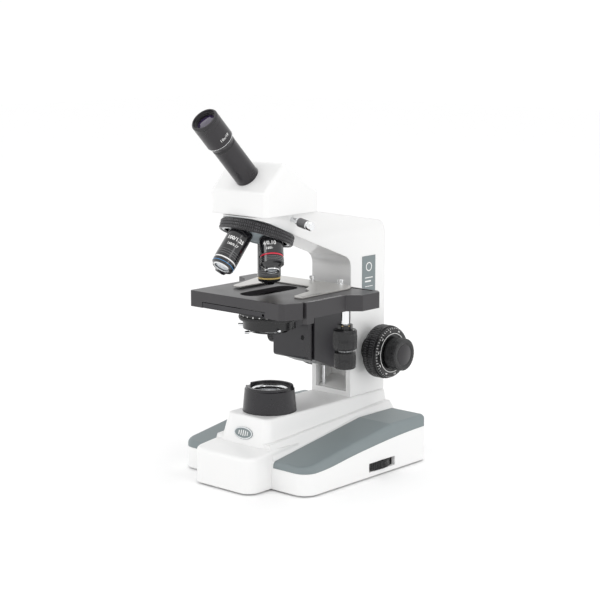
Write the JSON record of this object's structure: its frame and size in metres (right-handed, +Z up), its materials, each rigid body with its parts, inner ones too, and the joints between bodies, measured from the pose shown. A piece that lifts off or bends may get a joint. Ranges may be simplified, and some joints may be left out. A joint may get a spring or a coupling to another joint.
{
  "type": "monocular laboratory microscope",
  "caption": "Upright monocular teaching microscope with a revolving nosepiece, a mechanical stage, a condenser, coaxial focusing and a lamp in its base.",
  "frame": {"origin": "centre of the footprint on the table", "axes": "+Z up, -Y towards the user who looks into the eyepiece, +X to that user's right"},
  "size_m": [0.182, 0.2628, 0.3907],
  "materials": {
    "white_cast": "glossy white stove enamel on a casting",
    "white_plastic": "glossy white moulding",
    "grey_pad": "slate grey, finely grained",
    "charcoal": "satin black paint",
    "black_plastic": "semi-gloss black",
    "black_matte": "matt black",
    "black_enamel": "glossy black enamel on brass",
    "turret_grey": "satin blue-grey anodising",
    "chrome": "polished",
    "steel": "ground",
    "holder_silver": "satin nickel",
    "brass": "turned",
    "rubber": "matt",
    "circuit": "circuit board",
    "silver_label": "printed plate",
    "glass": "coated glass"
  },
  "bodies": {
    "base": {"base_housing": "white_plastic", "side_pad_right": "grey_pad", "side_pad_left": "grey_pad", "base_cover": "steel", "rubber_feet": "rubber", "base_screws": "steel", "power_board": "circuit", "power_inlet": "black_matte", "switch_frame": "black_matte", "lamp_housing": "black_plastic", "field_lens": "glass", "lamp_module": "silver_label", "dimmer_pot": "steel", "front_badge": "silver_label", "column_arm": "white_cast", "guide_rods": "chrome", "focus_bushings": "brass", "side_labels": "grey_pad", "nosepiece_base": "charcoal"},
    "rocker": {"power_rocker": "black_plastic"},
    "dimmer": {"intensity_wheel": "black_matte"},
    "coarse": {"coarse_sleeve": "steel", "coarse_knob_right": "black_plastic", "coarse_knob_left": "black_plastic"},
    "fine": {"fine_shaft": "steel", "fine_knob_right": "black_plastic", "fine_knob_left": "black_plastic"},
    "tension": {"tension_ring": "black_matte"},
    "focus": {"focus_carriage": "charcoal", "focus_rack": "brass", "stage_base": "charcoal", "stage_rack": "steel"},
    "y_stage": {"stage_plate": "charcoal", "drive_cable": "steel"},
    "y_knob": {"y_drive_sleeve": "chrome", "y_drive_knob": "black_plastic"},
    "x_knob": {"x_drive_shaft": "steel", "x_drive_knob": "black_plastic"},
    "holder": {"slide_holder": "holder_silver", "holder_screws": "chrome", "holder_carriage": "steel"},
    "clip": {"slide_clip": "holder_silver"},
    "condenser": {"condenser_bracket": "charcoal", "condenser_body": "black_matte", "condenser_lens": "glass"},
    "iris": {"iris_lever": "chrome"},
    "condenser_drive": {"condenser_knob": "black_plastic"},
    "nosepiece": {"nosepiece_turret": "turret_grey", "nosepiece_grip": "black_matte", "objective_10x": "black_enamel", "objective_4x": "black_enamel", "objective_100x": "black_enamel", "objective_40x": "black_enamel", "objective_lenses": "glass"},
    "head": {"head_housing": "white_cast", "head_prism": "glass", "eyepiece_tube": "black_matte"},
    "eyepiece": {"eyepiece_barrel": "black_matte", "eye_lens": "glass"},
    "lock": {"head_lock_screw": "chrome"}
  },
  "joints": [
    {"name": "power_switch", "type": "hinge", "parent": "base", "child": "rocker", "pos_m": [0.045, 0.122, 0.022], "axis": [0, 0, 1], "range_deg": [-18, 0]},
    {"name": "lamp_brightness", "type": "hinge", "parent": "base", "child": "dimmer", "pos_m": [0.0605, 0.05, 0.0118], "axis": [0, 0, 1], "range_deg": [0, 270]},
    {"name": "coarse_focus", "type": "hinge", "parent": "base", "child": "coarse", "pos_m": [0, 0.1028, 0.1203], "axis": [1, 0, 0], "range_deg": [-28.7, 229.3]},
    {"name": "fine_focus", "type": "hinge", "parent": "base", "child": "fine", "pos_m": [0, 0.1028, 0.1203], "axis": [1, 0, 0], "continuous": true},
    {"name": "focus_tension", "type": "hinge", "parent": "base", "child": "tension", "pos_m": [-0.036, 0.1028, 0.1203], "axis": [1, 0, 0], "range_deg": [0, 90]},
    {"name": "focus_travel", "type": "slide", "parent": "base", "child": "focus", "axis": [0, 0, 1], "range_m": [-0.024, 0.003]},
    {"name": "stage_y_drive", "type": "hinge", "parent": "y_stage", "child": "y_knob", "pos_m": [0.0717, 0.0095, 0.15], "axis": [0, 0, 1], "range_deg": [-179.3, 179.3]},
    {"name": "stage_y_travel", "type": "slide", "parent": "focus", "child": "y_stage", "axis": [0, 1, 0], "range_m": [-0.015, 0.015]},
    {"name": "stage_x_drive", "type": "hinge", "parent": "y_stage", "child": "x_knob", "pos_m": [0.0717, 0.0095, 0.13], "axis": [0, 0, 1], "range_deg": [-440.2, 440.2]},
    {"name": "slide_x_travel", "type": "slide", "parent": "y_stage", "child": "holder", "axis": [1, 0, 0], "range_m": [-0.038, 0.038]},
    {"name": "slide_clip_swing", "type": "hinge", "parent": "holder", "child": "clip", "pos_m": [-0.047, 0.0235, 0.2008], "axis": [0, 0, 1], "range_deg": [-20, 0], "stiffness_Nm_per_rad": 0.03, "springref_deg": 5.73},
    {"name": "condenser_turn", "type": "hinge", "parent": "focus", "child": "condenser_drive", "pos_m": [0, 0.0184, 0.141], "axis": [1, 0, 0], "range_deg": [0, 239]},
    {"name": "condenser_travel", "type": "slide", "parent": "focus", "child": "condenser", "axis": [0, 0, 1], "range_m": [-0.02, 0]},
    {"name": "iris_swing", "type": "hinge", "parent": "condenser", "child": "iris", "pos_m": [0, -0.0285, 0.1577], "axis": [0, 0, 1], "range_deg": [-50, 50]},
    {"name": "nosepiece_turn", "type": "hinge", "parent": "base", "child": "nosepiece", "pos_m": [0, -0.0285, 0.309], "axis": [0, -0.36, -0.933], "continuous": true},
    {"name": "head_turn", "type": "hinge", "parent": "base", "child": "head", "pos_m": [0, -0.0285, 0.282], "axis": [0, 0, 1], "continuous": true},
    {"name": "eyepiece_pull", "type": "slide", "parent": "head", "child": "eyepiece", "axis": [0, -0.7071, 0.7071], "range_m": [0, 0.024]},
    {"name": "head_lock", "type": "hinge", "parent": "base", "child": "lock", "pos_m": [0, -0.0285, 0.2833], "axis": [0.9781, 0, -0.2079], "range_deg": [0, 180]}
  ],
  "couplings": [
    {"joint": "coarse_focus", "follows": "focus_travel", "rad_per_m": -166.67},
    {"joint": "stage_y_drive", "follows": "stage_y_travel", "rad_per_m": 208.33},
    {"joint": "stage_x_drive", "follows": "slide_x_travel", "rad_per_m": -202.02},
    {"joint": "condenser_turn", "follows": "condenser_travel", "rad_per_m": -208.33}
  ]
}
